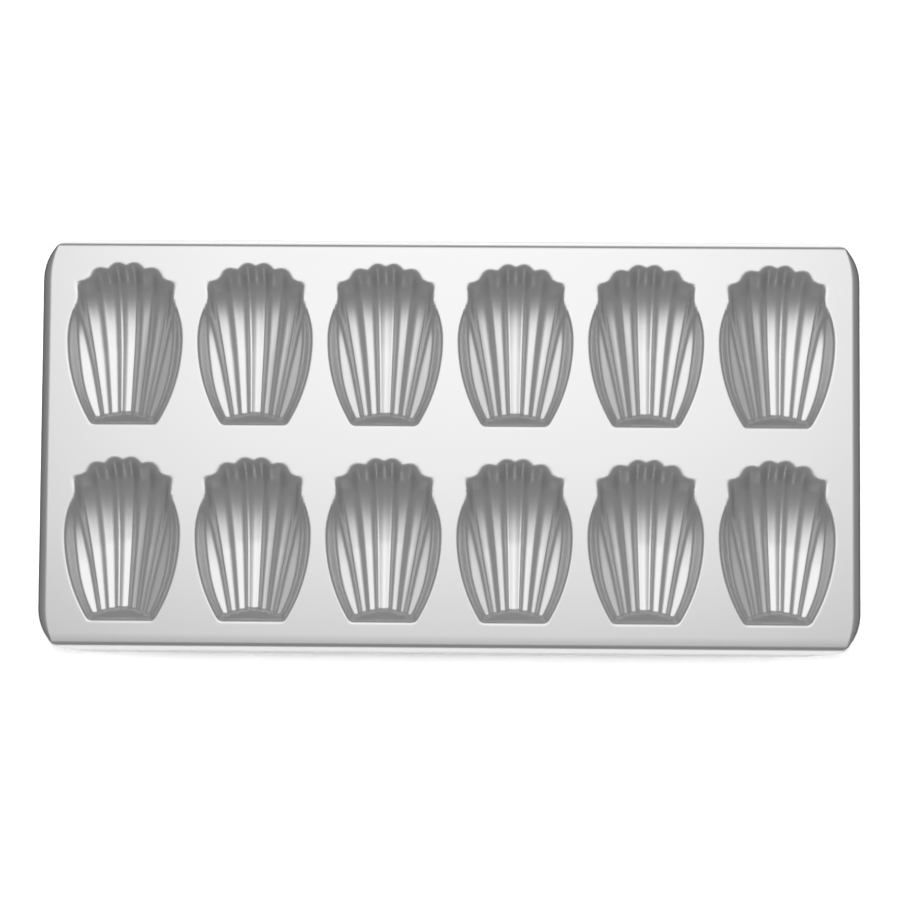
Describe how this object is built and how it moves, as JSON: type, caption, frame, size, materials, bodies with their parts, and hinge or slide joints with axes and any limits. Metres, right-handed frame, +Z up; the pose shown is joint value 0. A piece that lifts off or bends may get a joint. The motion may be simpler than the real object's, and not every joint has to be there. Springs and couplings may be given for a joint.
{
  "type": "madeleine pan",
  "caption": "Baking pan pressed from a single steel sheet, with rows of fluted scallop-shell hollows and its long sides bent down as flanges.",
  "frame": {"origin": "centre of the pan in plan, at the level that it stands on, under the lowest places of the shells", "axes": "+X along the long sides, +Y towards the scalloped ends of the shells, +Z up out of the hollows"},
  "size_m": [0.397, 0.202, 0.0158],
  "materials": {
    "nonstick_silver": "satin silver-grey non-stick coating on steel"
  },
  "bodies": {
    "root": {"pan_sheet": "nonstick_silver"}
  },
  "joints": []
}
